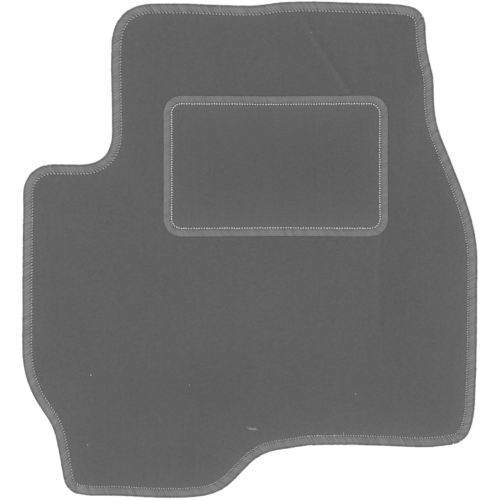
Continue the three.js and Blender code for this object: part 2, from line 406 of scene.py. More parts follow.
def edge_lean(points, edge):
    """Say how far the pile leans away from a sewn edge: most beside it, and fading inwards, with
    painted light towards the rear right corner.
    """
    away = distances(points, edge)
    # Up to twice as much towards the rear right corner: painted light that makes the pile lighter
    # towards the right and the rear.
    x, y = points[:, :2].T
    painted_light_rear_right = 1 + np.clip((x - y) / (450 * MM), 0, 1)
    return painted_light_rear_right * (0.45 * np.exp(-away / (6 * MM)) + 0.7 * np.exp(-away / (28 * MM)))


def fold_lines(points, start, end, height, strength):
    """Give the ridge of an old fold in the mat, and the painted light and shade to either side of
    it.
    """
    start, end = np.array(start), np.array(end)
    ahead = (end - start) / np.linalg.norm(end - start)
    along = (points[:, :2] - start) @ ahead
    aside = (points[:, :2] - start) @ np.array([ahead[1], -ahead[0]])
    aside = aside * np.sign(ahead[1]) + 4 * MM * np.sin(along / (60 * MM))
    reach = np.linalg.norm(end - start)
    fade = np.clip(along / (12 * MM), 0, 1) * np.clip((reach - along) / (30 * MM), 0, 1)
    ridge = np.exp(-(aside / (3 * MM)) ** 2 / 2) * height
    # Painted light and shade: one flank is painted lighter, as if lit, and the other darker, as if
    # in shade.
    lit = np.exp(-((aside + 2.6 * MM) / (2.6 * MM)) ** 2 / 2)
    shaded = np.exp(-((aside - 2.8 * MM) / (3.2 * MM)) ** 2 / 2)
    return ridge * fade, (1.1 * lit - 0.75 * shaded) * fade * strength


def placed(name, mesh):
    """Put a mesh into the scene as an object at the origin."""
    made = bpy.data.objects.new(name, mesh)
    bpy.context.scene.collection.objects.link(made)
    return made


def worked_mesh(name, form):
    """Turn a form into a mesh with its faces pointing outwards."""
    bmesh.ops.recalc_face_normals(form, faces=form.faces)
    mesh = bpy.data.meshes.new(name)
    form.to_mesh(mesh)
    form.free()
    return mesh


def yarn_tube(form, line, widths, heights, sides, turn, strand=0):
    """Add a closed tube of yarn along a line, flattened by its half widths and half heights.

    Its UV map runs round the strand, from the strand's number up, and along it in yarn steps.
    """
    line = [Vector(p) for p in line]
    coat = form.loops.layers.uv.verify()
    run, rings = [0.0], []
    span = line[-1] - line[0]
    side = Vector((1, 0, 0)) if abs(span.x) < abs(span.y) else Vector((0, -1, 0))
    for a, b in zip(line, line[1:]):
        run.append(run[-1] + (b - a).length)
    for i, point in enumerate(line):
        ahead = (line[min(i + 1, len(line) - 1)] - line[max(i - 1, 0)]).normalized()
        across = (side - ahead * side.dot(ahead)).normalized()
        up = across.cross(ahead)
        ring = []
        for k in range(sides):
            angle = 2 * math.pi * (k + 0.5) / sides + turn
            offset = across * widths[i] * math.cos(angle) + up * heights[i] * math.sin(angle)
            ring.append(form.verts.new(point + offset))
        rings.append(ring)
    for i, (first, second) in enumerate(zip(rings, rings[1:])):
        for k in range(sides):
            face = form.faces.new((first[k], first[(k + 1) % sides],
                                   second[(k + 1) % sides], second[k]))
            wound = [(k / sides, run[i]), ((k + 1) / sides, run[i]),
                     ((k + 1) / sides, run[i + 1]), (k / sides, run[i + 1])]
            for corner, (round_share, distance) in zip(face.loops, wound):
                corner[coat].uv = (strand + round_share, distance / YARN_STEP)
            face.smooth = True
    form.faces.new(rings[0])
    form.faces.new(rings[-1])


def stitch_shape(name, strands, sides, chance):
    """Make one stitch as an object, from the lines, widths and heights of its strands."""
    form = bmesh.new()
    for number, (line, widths, heights) in enumerate(strands):
        yarn_tube(form, line, widths, heights, sides, chance.uniform(0, 1), number)
    return bpy.data.objects.new(name, worked_mesh(name, form))


# ---------------------------------------------------------------- geometry nodes

def add(tree, kind, inputs=None, **settings):
    """Add a node with its settings, and link or set its inputs by name or number."""
    made = tree.nodes.new(kind)
    for name, value in settings.items():
        setattr(made, name, value)
    for name, value in (inputs or {}).items():
        socket = made.inputs[name]
        if isinstance(value, bpy.types.NodeSocket):
            tree.links.new(value, socket)
        else:
            socket.default_value = value
    return made


def new_tree(name, sizes):
    """Start a modifier's tree with a geometry socket each way and the named inputs."""
    tree = bpy.data.node_groups.new(name, "GeometryNodeTree")
    tree.is_modifier = True
    tree.interface.new_socket("Geometry", in_out="INPUT", socket_type="NodeSocketGeometry")
    tree.interface.new_socket("Geometry", in_out="OUTPUT", socket_type="NodeSocketGeometry")
    for label, kind in sizes.items():
        tree.interface.new_socket(label, in_out="INPUT", socket_type="NodeSocket" + kind)
    return tree, add(tree, "NodeGroupInput").outputs


def nap_tree():
    """Build the tree that lifts and sinks the tufts of a sheared pile, or the grain of rubber."""
    tree, given = new_tree("sheared nap", {
        "Tuft height": "Float", "Undulation": "Float", "Undulation size": "Float",
        "Seed": "Int", "Finish": "Material"})
    share = add(tree, "GeometryNodeInputNamedAttribute", {"Name": "nap"}, data_type="FLOAT")
    tuft = add(tree, "FunctionNodeRandomValue", {2: -1.0, 3: 1.0, "Seed": given["Seed"]},
               data_type="FLOAT")
    lift = add(tree, "ShaderNodeMath", {0: tuft.outputs[1], 1: given["Tuft height"]},
               operation="MULTIPLY")
    size = add(tree, "ShaderNodeMath", {0: 1.0, 1: given["Undulation size"]}, operation="DIVIDE")
    slow = add(tree, "ShaderNodeTexNoise", {"Scale": size.outputs[0], "Detail": 1.0},
               noise_dimensions="3D")
    middle = add(tree, "ShaderNodeMath", {0: slow.outputs[0], 1: 0.5}, operation="SUBTRACT")
    roll = add(tree, "ShaderNodeMath",
               {0: middle.outputs[0], 1: given["Undulation"], 2: lift.outputs[0]},
               operation="MULTIPLY_ADD")
    rise = add(tree, "ShaderNodeMath", {0: roll.outputs[0], 1: share.outputs[0]},
               operation="MULTIPLY")
    offset = add(tree, "ShaderNodeCombineXYZ", {"Z": rise.outputs[0]})
    moved = add(tree, "GeometryNodeSetPosition",
                {"Geometry": given["Geometry"], "Offset": offset.outputs[0]})
    solid = add(tree, "GeometryNodeRealizeInstances", {"Geometry": moved.outputs[0]})
    dressed = add(tree, "GeometryNodeSetMaterial",
                  {"Geometry": solid.outputs[0], "Material": given["Finish"]})
    add(tree, "NodeGroupOutput", {"Geometry": dressed.outputs[0]})
    return tree


def stitch_tree():
    """Build the tree that lays stitches on a straight line, then wraps them round an edge."""
    tree, given = new_tree("stitches round an edge", {
        "Edge": "Object", "Edge length": "Float", "Stitch shapes": "Collection",
        "Shape count": "Int", "Turn": "Float", "Size": "Vector", "Seed": "Int",
        "Finish": "Material"})
    shapes = add(tree, "GeometryNodeCollectionInfo",
                 {"Collection": given["Stitch shapes"], "Separate Children": True,
                  "Reset Children": True})
    last = add(tree, "ShaderNodeMath", {0: given["Shape count"], 1: 1.0}, operation="SUBTRACT")
    pick = add(tree, "FunctionNodeRandomValue", {4: 0, 5: last.outputs[0], "Seed": given["Seed"]},
               data_type="INT")
    least = add(tree, "ShaderNodeMath", {0: given["Turn"], 1: -1.0}, operation="MULTIPLY")
    angle = add(tree, "FunctionNodeRandomValue",
                {2: least.outputs[0], 3: given["Turn"], "Seed": given["Seed"]}, data_type="FLOAT")
    turn = add(tree, "ShaderNodeCombineXYZ", {"Z": angle.outputs[1]})
    small = add(tree, "ShaderNodeVectorMath", {0: (1, 1, 1), 1: given["Size"]},
                operation="SUBTRACT")
    large = add(tree, "ShaderNodeVectorMath", {0: (1, 1, 1), 1: given["Size"]}, operation="ADD")
    size = add(tree, "FunctionNodeRandomValue",
               {0: small.outputs[0], 1: large.outputs[0], "Seed": given["Seed"]},
               data_type="FLOAT_VECTOR")
    spread = add(tree, "GeometryNodeInputNamedAttribute", {"Name": "spread"}, data_type="FLOAT")
    wide = add(tree, "ShaderNodeCombineXYZ", {"X": spread.outputs[0], "Y": 1.0, "Z": 1.0})
    scale = add(tree, "ShaderNodeVectorMath", {0: size.outputs[0], 1: wide.outputs[0]},
                operation="MULTIPLY")
    laid = add(tree, "GeometryNodeInstanceOnPoints",
               {"Points": given["Geometry"], "Instance": shapes.outputs[0],
                "Pick Instance": True, "Instance Index": pick.outputs[2],
                "Rotation": turn.outputs[0], "Scale": scale.outputs[0]})
    shade = add(tree, "FunctionNodeRandomValue", {2: 0.0, 3: 1.0, "Seed": given["Seed"]},
                data_type="FLOAT")
    # The shade offset from the places, painted shade where the yarn lies along the mat's length,
    # is added to each stitch's random shade.
    tone = add(tree, "GeometryNodeInputNamedAttribute", {"Name": "tone"}, data_type="FLOAT")
    shade = add(tree, "ShaderNodeMath", {0: shade.outputs[1], 1: tone.outputs[0]})
    marked = add(tree, "GeometryNodeStoreNamedAttribute",
                 {"Geometry": laid.outputs[0], "Name": "shade", "Value": shade.outputs[0]},
                 data_type="FLOAT", domain="INSTANCE")
    solid = add(tree, "GeometryNodeRealizeInstances", {"Geometry": marked.outputs[0]})
    place = add(tree, "ShaderNodeSeparateXYZ",
                {0: add(tree, "GeometryNodeInputPosition").outputs[0]})
    run = add(tree, "ShaderNodeMath", {0: place.outputs[0], 1: given["Edge length"], 2: 0.0},
              operation="WRAP")
    edge = add(tree, "GeometryNodeObjectInfo", {"Object": given["Edge"]})
    point = add(tree, "GeometryNodeSampleCurve",
                {"Curves": edge.outputs["Geometry"], "Length": run.outputs[0]}, mode="LENGTH")
    inward = add(tree, "ShaderNodeVectorMath", {0: (0, 0, 1), 1: point.outputs["Tangent"]},
                 operation="CROSS_PRODUCT")
    inset = add(tree, "ShaderNodeVectorMath",
                {0: inward.outputs[0], "Scale": place.outputs[1]}, operation="SCALE")
    flat = add(tree, "ShaderNodeVectorMath",
               {0: point.outputs["Position"], 1: inset.outputs[0]}, operation="ADD")
    height = add(tree, "ShaderNodeCombineXYZ", {"Z": place.outputs[2]})
    wrapped = add(tree, "ShaderNodeVectorMath", {0: flat.outputs[0], 1: height.outputs[0]},
                  operation="ADD")
    moved = add(tree, "GeometryNodeSetPosition",
                {"Geometry": solid.outputs[0], "Position": wrapped.outputs[0]})
    dressed = add(tree, "GeometryNodeSetMaterial",
                  {"Geometry": moved.outputs[0], "Material": given["Finish"]})
    add(tree, "NodeGroupOutput", {"Geometry": dressed.outputs[0]})
    return tree


def shared_tree(name, maker):
    """Give the tree of this name, built the first time it is asked for."""
    return bpy.data.node_groups.get(name) or maker()


def made_solid(host, tree, values):
    """Run a tree on an object with its inputs set, and give the result as a plain mesh object."""
    name = host.name
    step = host.modifiers.new("form", "NODES")
    step.node_group = tree
    for item in tree.interface.items_tree:
        if item.in_out == "INPUT" and item.name in values:
            step[item.identifier] = values[item.name]
    host.update_tag()
    graph = bpy.context.evaluated_depsgraph_get()
    mesh = bpy.data.meshes.new_from_object(host.evaluated_get(graph), depsgraph=graph)
    host.modifiers.clear()
    spent = host.data
    bpy.data.objects.remove(host)
    bpy.data.meshes.remove(spent)
    mesh.name = name
    if not mesh.polygons:
        raise RuntimeError(f"{name} came out empty")
    return placed(name, mesh)


def wrapped_stitches(name, path, places, shapes, finish, seed, turn=0.016,
                     size=(0.05, 0.012, 0.02)):
    """Sew stitches of a few shapes round a path.

    Each row of places is a distance, inset, height, spread and a shade offset that holds
    painted shade. turn and size are how far a stitch may be turned, in radians, and larger or
    smaller along, across and up.
    """
    curve = bpy.data.curves.new(name + "_path", "CURVE")
    curve.dimensions = "3D"
    spline = curve.splines.new("POLY")
    spline.points.add(len(path.points) - 1)
    spline.points.foreach_set("co", np.c_[path.points, np.zeros(len(path.points)),
                                          np.ones(len(path.points))].ravel())
    spline.use_cyclic_u = True
    edge = bpy.data.objects.new(name + "_path", curve)
    box = bpy.data.collections.new(name + "_shapes")
    for shape in shapes:
        box.objects.link(shape)
    mesh = bpy.data.meshes.new(name)
    mesh.from_pydata(places[:, :3].tolist(), [], [])
    for label, column in (("spread", 3), ("tone", 4)):
        mesh.attributes.new(label, "FLOAT", "POINT").data.foreach_set(
            "value", places[:, column].astype(np.float32))
    host = placed(name, mesh)
    bpy.context.scene.collection.objects.link(edge)
    bpy.context.scene.collection.children.link(box)
    made = made_solid(host, shared_tree("stitches round an edge", stitch_tree), {
        "Edge": edge, "Edge length": path.length, "Stitch shapes": box,
        "Shape count": len(shapes), "Turn": turn, "Size": size, "Seed": seed, "Finish": finish})
    for spent in [edge, *shapes]:
        bpy.data.objects.remove(spent)
    bpy.data.collections.remove(box)
    bpy.data.curves.remove(curve)
    return made


# ---------------------------------------------------------------- materials

def linear(colour):
    """Turn an sRGB hex colour into linear red, green, blue and alpha."""
    parts = [int(colour[i:i + 2], 16) / 255 for i in (0, 2, 4)]
    return [c / 12.92 if c <= 0.04045 else ((c + 0.055) / 1.055) ** 2.4 for c in parts] + [1.0]


def new_material(name):
    """Start a material, and give its tree and its surface shader."""
    made = bpy.data.materials.new(name)
    made.use_nodes = True
    tree = made.node_tree
    tree.nodes.clear()
    skin = add(tree, "ShaderNodeBsdfPrincipled")
    add(tree, "ShaderNodeOutputMaterial", {"Surface": skin.outputs[0]})
    return made, tree, skin


def surfaced(tree, skin, colour, level, shares, height, relief, dimmers=(), **settings):
    """Give the shader its colour and its relief.

    The colour is taken times the level, to which each pattern adds its share, and times each of
    the dimmers. relief is the strength and the depth that the height is drawn with.
    """
    for pattern, share in shares:
        level = add(tree, "ShaderNodeMath", {0: pattern, 1: share, 2: level},
                    operation="MULTIPLY_ADD").outputs[0]
    for dimmer in dimmers:
        level = add(tree, "ShaderNodeMath", {0: level, 1: dimmer},
                    operation="MULTIPLY").outputs[0]
    tint = add(tree, "ShaderNodeVectorMath", {0: linear(colour)[:3], "Scale": level},
               operation="SCALE")
    bump = add(tree, "ShaderNodeBump",
               {"Height": height, "Strength": relief[0], "Distance": relief[1]}, **settings)
    tree.links.new(tint.outputs[0], skin.inputs["Base Color"])
    tree.links.new(bump.outputs[0], skin.inputs["Normal"])


def sheared_pile(name, colour):
    """Sheared velour pile, tufted from matt bulked fibre."""
    # The cut fibre ends scatter light evenly: no gloss, a faint sheen when seen low, a fine
    # mottle from tuft to tuft, slow light and dark drifts where the pile leans, painted light and
    # shade at the folds, beside the pad and towards the rear right corner, and painted shade
    # between the fibre bunches.
    made, tree, skin = new_material(name)
    place = add(tree, "ShaderNodeTexCoord").outputs["Object"]
    # Tufts 2 mm apart, drawn a little coarser so that they show.
    tufts = add(tree, "ShaderNodeTexNoise",
                {"Vector": place, "Scale": 1 / (2.6 * MM), "Detail": 3.0, "Roughness": 0.6})
    # Tufting rows run the mat's length, 3 mm apart, drawn a little coarser so that they show.
    rows = add(tree, "ShaderNodeMapping",
               {"Vector": place, "Scale": (1 / (4.2 * MM), 1 / (110 * MM), 1.0)})
    streaks = add(tree, "ShaderNodeTexNoise",
                  {"Vector": rows.outputs[0], "Scale": 1.0, "Detail": 1.0})
    # Brushed and trodden places, a hand wide.
    drifts = add(tree, "ShaderNodeTexNoise",
                 {"Vector": place, "Scale": 1 / (95 * MM), "Detail": 2.0, "Distortion": 0.4})
    # Pile that leans away from a seam shows its lighter sides. The same attribute holds painted
    # light and shade: a lit and a shaded flank at each fold, painted light beside the pad against
    # its shadow, and more painted light towards the rear right corner.
    lean = add(tree, "ShaderNodeAttribute", attribute_name="lean").outputs["Fac"]
    # Single fibre ends are 0.1 mm, drawn at 0.5 mm so that they show, in bunches 1 mm across
    # with painted shade in the gaps between them.
    fibres = add(tree, "ShaderNodeTexNoise",
                 {"Vector": place, "Scale": 1 / (0.5 * MM), "Detail": 3.0, "Roughness": 0.75})
    stirred = add(tree, "ShaderNodeVectorMath",
                  {0: fibres.outputs["Color"], 1: (0.5 * MM,) * 3, 2: place},
                  operation="MULTIPLY_ADD")
    bunches = add(tree, "ShaderNodeTexVoronoi",
                  {"Vector": stirred.outputs[0], "Scale": 1 / (1.0 * MM)})
    # The noises average a half, and the painted shade in the gaps between bunches takes off
    # about 0.1.
    mottle, stripes, trodden, lean_and_painted_light, gaps = 0.5, 0.08, 0.12, 0.1, -0.2
    shares = [(tufts.outputs[0], mottle), (streaks.outputs[0], stripes),
              (drifts.outputs[0], trodden), (lean, lean_and_painted_light), (bunches.outputs["Distance"], gaps)]
    skin.inputs["Roughness"].default_value = 0.95
    skin.inputs["Specular IOR Level"].default_value = 0.15
    skin.inputs["Sheen Weight"].default_value = 0.12
    skin.inputs["Sheen Roughness"].default_value = 0.5
    height = add(tree, "ShaderNodeMath",
                 {0: bunches.outputs["Distance"], 1: -0.7, 2: fibres.outputs[0]},
                 operation="MULTIPLY_ADD")
    surfaced(tree, skin, colour, 1.1 - (mottle + stripes + trodden) / 2, shares,
             height.outputs[0], (1.0, 0.55 * MM))
    return made


# turned is the depth of the painted shade at the rim, and groove that of the painted shade in the
# grooves.
def bulked_yarn(name, colour, spread=0.2, sheen=0.2, turned=0.26, groove=0.25):
    """Textured nylon or polyester overlock yarn, crimped and loosely twisted."""
    # Crimped filaments make it fluffy and matt, each stitch a little lighter or darker by the
    # spread, with fine slanting lines where the filaments lie, painted lighter where they stand
    # high and with painted shade between them.
    made, tree, skin = new_material(name)
    place = add(tree, "ShaderNodeTexCoord")
    shade = add(tree, "ShaderNodeAttribute", attribute_name="shade").outputs["Fac"]
    # Lighter and darker patches, two stitches wide.
    patch = add(tree, "ShaderNodeTexNoise",
                {"Vector": place.outputs["Object"], "Scale": 1 / (7 * MM), "Detail": 2.0})
    # Filament bundles 0.5 mm wide wind round the yarn once in about 5 mm.
    wind = add(tree, "ShaderNodeMapping", {"Vector": place.outputs["UV"], "Scale": (8, 5, 1)})
    lay = add(tree, "ShaderNodeVectorRotate", {"Vector": wind.outputs[0], "Angle": 0.6},
              rotation_type="Z_AXIS")
    thin = add(tree, "ShaderNodeMapping", {"Vector": lay.outputs[0], "Scale": (1.0, 0.25, 1)})
    filaments = add(tree, "ShaderNodeTexNoise",
                    {"Vector": thin.outputs[0], "Scale": 1.0, "Detail": 3.0, "Roughness": 0.6})
    patchy, lines = 0.14, 0.32
    shares = [(shade, spread), (patch.outputs[0], patchy), (filaments.outputs[0], lines)]
    # Painted shade: where the yarn turns over the edge, 11 mm from the needle, it is painted
    # darker, as the rim falls away from the light.
    run = add(tree, "ShaderNodeSeparateXYZ", {0: place.outputs["UV"]})
    painted_rim_shade = add(tree, "ShaderNodeMapRange",
                  {0: run.outputs[1], 1: 10.9 * MM / YARN_STEP, 2: 12.6 * MM / YARN_STEP,
                   3: 1.0, 4: 1 - turned})
    # Painted shade: the first strand of each stitch, in the groove beside the stitch before, is
    # painted darker and the others lighter. The painted shade varies slowly along the edge, as
    # the grooves open and close with the yarn's tension.
    first = add(tree, "ShaderNodeMath", {0: run.outputs[0], 1: 1.0}, operation="LESS_THAN")
    evened = add(tree, "ShaderNodeMath", {0: first.outputs[0], 1: 0.3}, operation="SUBTRACT")
    tension = add(tree, "ShaderNodeTexNoise",
                  {"Vector": place.outputs["Object"], "Scale": 1 / (45 * MM), "Detail": 1.0})
    painted_groove_shade = add(tree, "ShaderNodeMapRange",
                 {0: tension.outputs[0], 1: 0.36, 2: 0.64, 3: 0.15 * groove, 4: groove})
    shaded = add(tree, "ShaderNodeMath", {0: evened.outputs[0], 1: painted_groove_shade.outputs[0]},
                 operation="MULTIPLY")
    sunk = add(tree, "ShaderNodeMath", {0: 1.0, 1: shaded.outputs[0]}, operation="SUBTRACT")
    skin.inputs["Roughness"].default_value = 0.8
    skin.inputs["Specular IOR Level"].default_value = 0.25
    skin.inputs["Sheen Weight"].default_value = sheen
    skin.inputs["Sheen Roughness"].default_value = 0.4
    surfaced(tree, skin, colour, 1 - (spread + patchy + lines) / 2, shares, filaments.outputs[0],
             (0.7, 0.25 * MM), [painted_rim_shade.outputs[0], sunk.outputs[0]])
    return made


def spun_thread(name, colour):
    """Three-ply polyester sewing thread, tightly twisted."""
    # Tight filaments give a soft gloss, and the plies show as slanting ridges, painted lighter on
    # their crests with painted shade between them.
    made, tree, skin = new_material(name)
    place = add(tree, "ShaderNodeTexCoord")
    shade = add(tree, "ShaderNodeAttribute", attribute_name="shade").outputs["Fac"]
    # Plies 0.5 mm wide, wound once in 1.5 mm.
    wind = add(tree, "ShaderNodeMapping",
               {"Vector": place.outputs["UV"], "Rotation": (0, 0, 0.7), "Scale": (3, 8, 1)})
    plies = add(tree, "ShaderNodeTexWave", {"Vector": wind.outputs[0], "Scale": 0.35,
                                            "Distortion": 0.6, "Detail": 1.0})
    skin.inputs["Roughness"].default_value = 0.55
    skin.inputs["Specular IOR Level"].default_value = 0.4
    surfaced(tree, skin, colour, 0.89, [(shade, 0.12), (plies.outputs["Fac"], 0.08)],
             plies.outputs["Fac"], (0.5, 0.12 * MM))
    return made


def grip_rubber(name, colour):
    """Styrene-butadiene rubber, calendered on a grained roller."""
    # The grain breaks up the gloss into small soft glints on a nearly black ground.
    made, tree, skin = new_material(name)
    place = add(tree, "ShaderNodeTexCoord").outputs["Object"]
    # Grain 1.2 mm wide, under dust that lies in patches.
    grain = add(tree, "ShaderNodeTexVoronoi", {"Vector": place, "Scale": 1 / (1.2 * MM)})
    dust = add(tree, "ShaderNodeTexNoise",
               {"Vector": place, "Scale": 1 / (40 * MM), "Detail": 4.0, "Roughness": 0.6})
    rough = add(tree, "ShaderNodeMapRange",
                {0: dust.outputs[0], 1: 0.3, 2: 0.7, 3: 0.55, 4: 0.75})
    tree.links.new(rough.outputs[0], skin.inputs["Roughness"])
    skin.inputs["IOR"].default_value = 1.52
    # Painted shade: the grain is painted darker in its hollows.
    surfaced(tree, skin, colour, 0.8,
             [(dust.outputs[0], 0.5), (grain.outputs["Distance"], -0.25)],
             grain.outputs["Distance"], (0.8, 0.25 * MM), invert=True)
    return made


def spunbond_cloth(name, colour):
    """Polyester spunbond cloth, point-bonded by a hot roller."""
    # Random filaments make a faint tangle, flattened in small shiny bond points, which are
    # painted darker as painted shade in their dents.
    made, tree, skin = new_material(name)
    place = add(tree, "ShaderNodeTexCoord").outputs["Object"]
    tangle = add(tree, "ShaderNodeTexNoise", {"Vector": place, "Scale": 1 / (1.5 * MM),
                                              "Detail": 4.0, "Distortion": 1.5})
    # Bond points 0.8 mm across, 1.8 mm apart.
    bonds = add(tree, "ShaderNodeTexVoronoi",
                {"Vector": place, "Scale": 1 / (1.8 * MM), "Randomness": 0.2})
    skin.inputs["Roughness"].default_value = 0.8
    surfaced(tree, skin, colour, 0.65,
             [(tangle.outputs[0], 0.5), (bonds.outputs["Distance"], 0.2)],
             bonds.outputs["Distance"], (0.5, 0.1 * MM))
    return made


def one_sided_vinyl(name):
    """White vinyl studio floor, lit from below."""
    # It reads as an even white ground without gloss. Its underside is clear, so that the mat can
    # be looked at from below.
    made, tree, skin = new_material(name)
    skin.inputs["Base Color"].default_value = linear("d0d0d0")
    skin.inputs["Roughness"].default_value = 0.9
    skin.inputs["Specular IOR Level"].default_value = 0.0
    skin.inputs["Emission Color"].default_value = linear("ffffff")
    skin.inputs["Emission Strength"].default_value = 0.5
    under = add(tree, "ShaderNodeNewGeometry").outputs["Backfacing"]
    clear = add(tree, "ShaderNodeBsdfTransparent").outputs[0]
    sides = add(tree, "ShaderNodeMixShader", {0: under, 1: skin.outputs[0], 2: clear})
    end = next(node for node in tree.nodes if node.type == "OUTPUT_MATERIAL")
    tree.links.new(sides.outputs[0], end.inputs["Surface"])
    return made


def shared_material(name, maker, *values):
    """Give the material of this name, made the first time it is asked for."""
    return bpy.data.materials.get(name) or maker(name, *values)


# ---------------------------------------------------------------- pieces

def node_low(node):
    """Give a CAD node's lowest height."""
    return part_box(node)[0].z


def node_high(node):
    """Give a CAD node's highest height."""
    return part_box(node)[1].z


def mat_path():
    """Give the mat's outer edge."""
    node = "mat_edge_upper_yarn"
    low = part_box(node)[0]
    start = (20 * MM, low.y * 0.85)
    # Where the sewing has stretched the edge outwards or drawn it in: place, reach and amount,
    # in millimetres.
    pulls = [(-172, 331, 17, 2.4), (-90, 344, 30, 1.3), (10, 344, 14, -0.8), (96, 347, 26, 1.0),
             (238, 331, 11, 1.6), (266, 165, 27, -1.8), (304, 50, 16, 0.6), (319, -122, 28, -0.5),
             (296, -265, 13, 1.8), (140, -275, 38, -1.5), (-180, -346, 24, -1.2),
             (-303, 106, 14, 1.0), (-206, 132, 11, -1.5), (-194, 285, 14, -0.6),
             (-194, 215, 40, -0.5), (-318, 52, 30, -0.5), (10, -292, 22, -0.7)]
    return EdgePath(flat_outlines(node, low.z)[0], start, seed=3, pulls=pulls)


def pad_path():
    """Give the heel pad's outer edge."""
    node = "pad_edge_upper_yarn"
    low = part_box(node)[0]
    start = (low.x + 80 * MM, low.y)
    return EdgePath(flat_outlines(node, low.z)[0], start, seed=5, waver=0.08 * MM)


def settled(piece, nodes):
    """Say what a finished piece rides on and stands for."""
    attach(piece, "root")
    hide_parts(*nodes)


def stitch_places(path, inset, look, seed, uneven=0.04, both=False, right=0.0):
    """Walk along the needle line in stitches.

    Gives each stitch's distance, inset, height, spread and the painted shade of its yarn's
    direction. Stitches are longer by the feed where the edge faces the toes, or either end if
    both is set, shorter by right where it faces right, and uneven by a share of the pitch.
    """
    chance = np.random.default_rng(seed)
    needle = lengths(path.inset(inset))
    facing = blurred(-path.inward, 25)
    facing = np.vstack([facing, facing[:1]])
    toward = np.abs(facing[:, 1]) if both else facing[:, 1]
    longer = look.feed * toward - right * np.clip(facing[:, 0], 0, 1)
    steps, at = [], 0.0
    while at < needle[-1]:
        steps.append(at)
        here = np.interp(at, needle, longer)
        at += look.pitch * (1 + here) * (1 + uneven * chance.normal())
    steps = np.array(steps) * needle[-1] / at
    run = np.interp(steps, needle, path.along)
    gaps = np.diff(np.r_[run, run[0] + path.length])
    spread = np.maximum(gaps, np.roll(gaps, 1)) / look.pitch
    count = len(run)
    # Painted shade: yarn that lies along the mat's length is painted a little darker than yarn
    # across it, standing in for the sheen that yarn across it catches from the light.
    tone = -0.3 * np.abs(np.interp(steps, needle, facing[:, 1]))
    return np.c_[run, np.full(count, inset), np.zeros(count), spread, tone]


def yarn_stitch(name, chance, look, count, reach, levels, thickness, gather):
    """Make one overlock stitch: strands gathered at the needle that fan out over the edge.

    levels are pairs of inset, in millimetres, and height of the yarn's middle, from the needle
    to the edge. reach is the needle's inset, and gather the share of the pitch that the strands
    are drawn together to.
    """
    strands = []
    step = look.pitch / count
    for k in range(count):
        side = (k - (count - 1) / 2) * step + chance.uniform(-0.07, 0.07) * step
        bulk = chance.uniform(0.92, 1.1)
        lift = chance.uniform(-0.06, 0.06) * MM
        line, widths, heights = [], [], []
        for inset, height in levels:
            out = reach - inset * MM
            # The strands are fully spread halfway to the edge.
            fan = min(1.0, max(0.0, out / reach / 0.5))
            fan = fan * fan * (3 - 2 * fan)
            across = side * (gather + (1 - gather) * fan) + math.tan(look.lean) * out
            line.append((across, -out, height + lift))
            # A half width over half a step, so that strands press on each other.
            full = 0.72 + 0.28 * fan
            widths.append(step * 0.64 * bulk * full)
            heights.append(thickness / 2 * bulk * (0.9 + 0.1 * fan))
        strands.append((line, widths, heights))
    return stitch_shape(name, strands, 5, chance)


class MAT_OT_stage(bpy.types.Operator):
    """Set up the camera, the pale floor and the soft light"""

    bl_idname = "floor_mat.stage"
    bl_label = "Stage"

    def execute(self, context):
        """Place the camera first, then the floor and the lights."""
        stage = context.scene.mat_stage
        self.place_camera(context.scene, stage)
        self.lay_floor()
        self.light_dome(context.scene, stage)
        self.hang_softbox(context.scene, stage)
        return {"FINISHED"}

    def place_camera(self, scene, stage):
        """Look straight down at the mat."""
        view = bpy.data.cameras.new("camera")
        camera = bpy.data.objects.new("camera", view)
        scene.collection.objects.link(camera)
        view.sensor_width = 36
        view.lens = view.sensor_width * (stage.camera_height - stage.aim[2]) / stage.field_width
        view.clip_end = 100
        camera.location = (stage.aim[0], stage.aim[1], stage.camera_height)
        scene.camera = camera
        scene.view_settings.view_transform = "Standard"
        # Stitches are only a little wider than what the camera resolves, and stay crisp this way.
        scene.cycles.denoising_prefilter = "NONE"

    def lay_floor(self):
        """Spread the floor a hair under the mat."""
        mesh = bpy.data.meshes.new("studio_floor")
        form = bmesh.new()
        bmesh.ops.create_grid(form, x_segments=4, y_segments=4, size=12)
        form.to_mesh(mesh)
        form.free()
        mesh.materials.append(one_sided_vinyl("lit_white_vinyl_floor"))
        floor = placed("studio_floor", mesh)
        floor.location.z = -0.2 * MM
        floor.visible_diffuse = False
        floor.visible_glossy = False

    def light_dome(self, scene, stage):
        """Light from a soft dome, dim below the floor and bright again far below."""
        world = bpy.data.worlds.new("soft_dome")
        scene.world = world
        world.use_nodes = True
        sky = world.node_tree
        sky.nodes.clear()
        toward = add(sky, "ShaderNodeTexCoord").outputs["Generated"]
        up = add(sky, "ShaderNodeSeparateXYZ", {0: toward})
        above = add(sky, "ShaderNodeMapRange",
                    {0: up.outputs[2], 1: -0.07, 2: -0.03, 3: 0.1, 4: 1.0})
        below = add(sky, "ShaderNodeMapRange",
                    {0: up.outputs[2], 1: -0.5, 2: -0.8, 3: 0.0, 4: 0.9})
        share = add(sky, "ShaderNodeMath", {0: above.outputs[0], 1: below.outputs[0]})
        light = add(sky, "ShaderNodeMath", {0: share.outputs[0], 1: stage.dome_strength},
                    operation="MULTIPLY")
        glow = add(sky, "ShaderNodeBackground",
                   {"Color": (1, 1, 1, 1), "Strength": light.outputs[0]})
        add(sky, "ShaderNodeOutputWorld", {"Surface": glow.outputs[0]})

    def hang_softbox(self, scene, stage):
        """Hang a large softbox over the front left of the mat, facing its middle."""
        lamp = bpy.data.lights.new("softbox", "AREA")
        lamp.shape = "RECTANGLE"
        lamp.size, lamp.size_y = 1.6, 1.2
        lamp.energy = stage.softbox_power
        softbox = bpy.data.objects.new("softbox", lamp)
        scene.collection.objects.link(softbox)
        place = Vector((-0.6, -0.5, 2.2))
        softbox.location = place
        softbox.rotation_euler = (-place).to_track_quat("-Z", "Y").to_euler()


